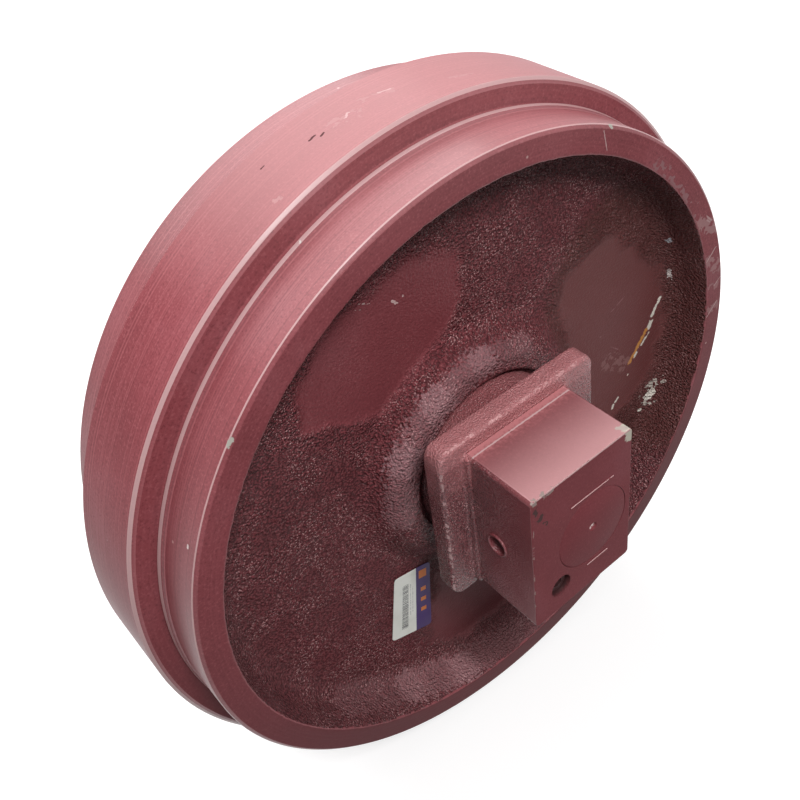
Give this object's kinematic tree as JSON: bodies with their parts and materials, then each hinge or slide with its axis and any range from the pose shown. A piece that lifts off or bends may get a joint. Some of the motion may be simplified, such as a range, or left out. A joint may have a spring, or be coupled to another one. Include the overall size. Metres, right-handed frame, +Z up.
{
  "type": "excavator front idler",
  "caption": "Cast track idler wheel with a centre guide flange, turning on a fixed shaft between two pinned slide brackets with floating seals.",
  "frame": {"origin": "centre of the wheel on its axle, which is the centre of the whole assembly's box", "axes": "+Y along the axle towards the far end, +Z up, -X towards the rear, where the track adjuster's yoke pushes"},
  "size_m": [0.5392, 0.326, 0.5392],
  "materials": {
    "wheel_paint": "oxide red paint, cast and turned surfaces",
    "bracket_paint": "oxide red paint, sprayed over castings",
    "shaft_steel": "forged steel, painted at its ends",
    "ground_steel": "ground",
    "bush_bronze": "turned",
    "seal_rubber": "matt"
  },
  "bodies": {
    "axle_group": {"shaft": "shaft_steel", "bracket_near": "bracket_paint", "seal_ring_bracket_near": "ground_steel", "toric_ring_bracket_near": "seal_rubber", "shaft_oring_near": "seal_rubber", "lock_pin_near": "shaft_steel", "oil_plug_near": "shaft_steel", "bracket_far": "bracket_paint", "seal_ring_bracket_far": "ground_steel", "toric_ring_bracket_far": "seal_rubber", "shaft_oring_far": "seal_rubber", "lock_pin_far": "shaft_steel", "oil_plug_far": "shaft_steel"},
    "wheel": {"wheel_shell": "wheel_paint", "bush_near": "bush_bronze", "seal_ring_wheel_near": "ground_steel", "toric_ring_wheel_near": "seal_rubber", "bush_far": "bush_bronze", "seal_ring_wheel_far": "ground_steel", "toric_ring_wheel_far": "seal_rubber"}
  },
  "joints": [
    {"name": "wheel_spin", "type": "hinge", "parent": "axle_group", "child": "wheel", "pos_m": [0, 0, 0], "axis": [0, 1, 0], "continuous": true}
  ]
}
